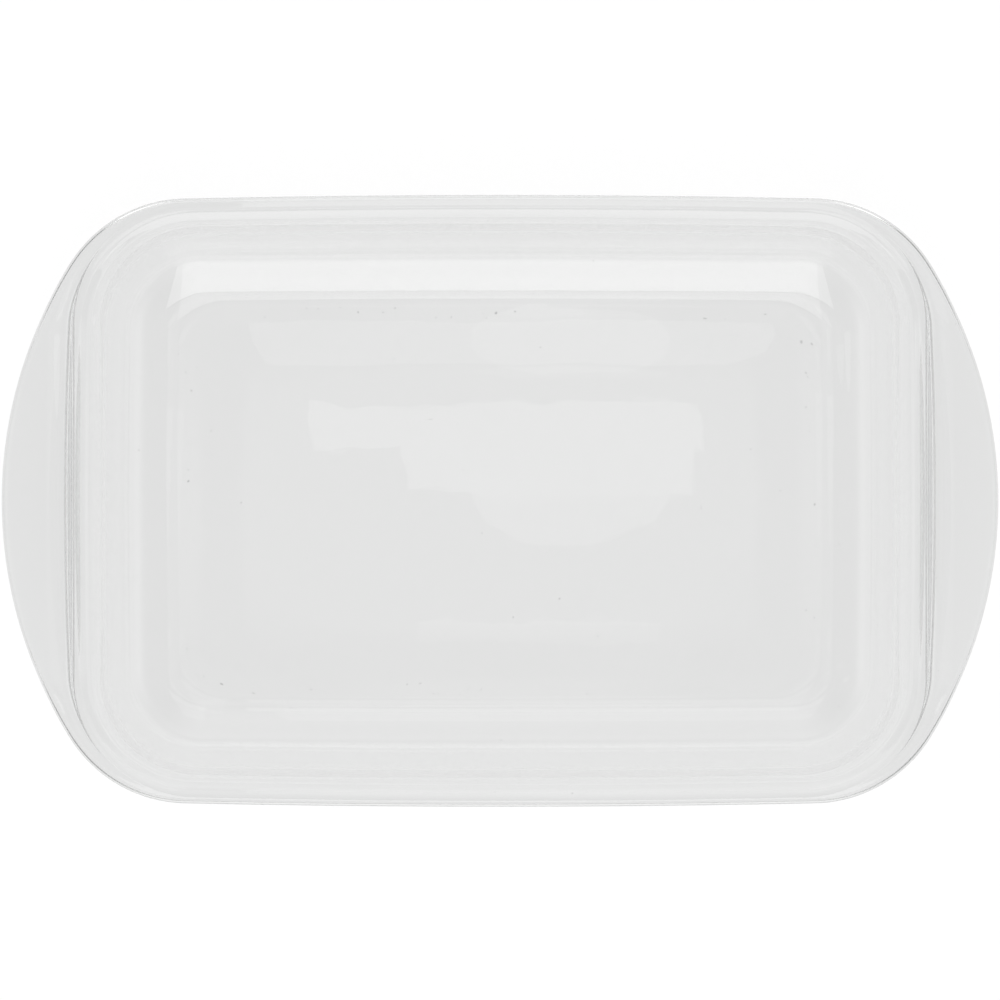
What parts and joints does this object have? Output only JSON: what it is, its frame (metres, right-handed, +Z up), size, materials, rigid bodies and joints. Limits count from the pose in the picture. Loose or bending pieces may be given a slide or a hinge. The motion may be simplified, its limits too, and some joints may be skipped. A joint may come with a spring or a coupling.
{
  "type": "glass baking dish",
  "caption": "Oblong clear glass baking dish with steep walls, a rounded floor, a raised rim and a flat crescent handle at each end.",
  "frame": {"origin": "under the middle of the dish, on the plane that its base rests on", "axes": "+X along the dish from handle to handle, +Y across it, +Z up out of its mouth"},
  "size_m": [0.3812, 0.2332, 0.054],
  "materials": {
    "clear_glass": "clear pressed glass, fire-polished and smooth"
  },
  "bodies": {
    "root": {"dish_bowl": "clear_glass", "left_handle": "clear_glass", "right_handle": "clear_glass"}
  },
  "joints": []
}
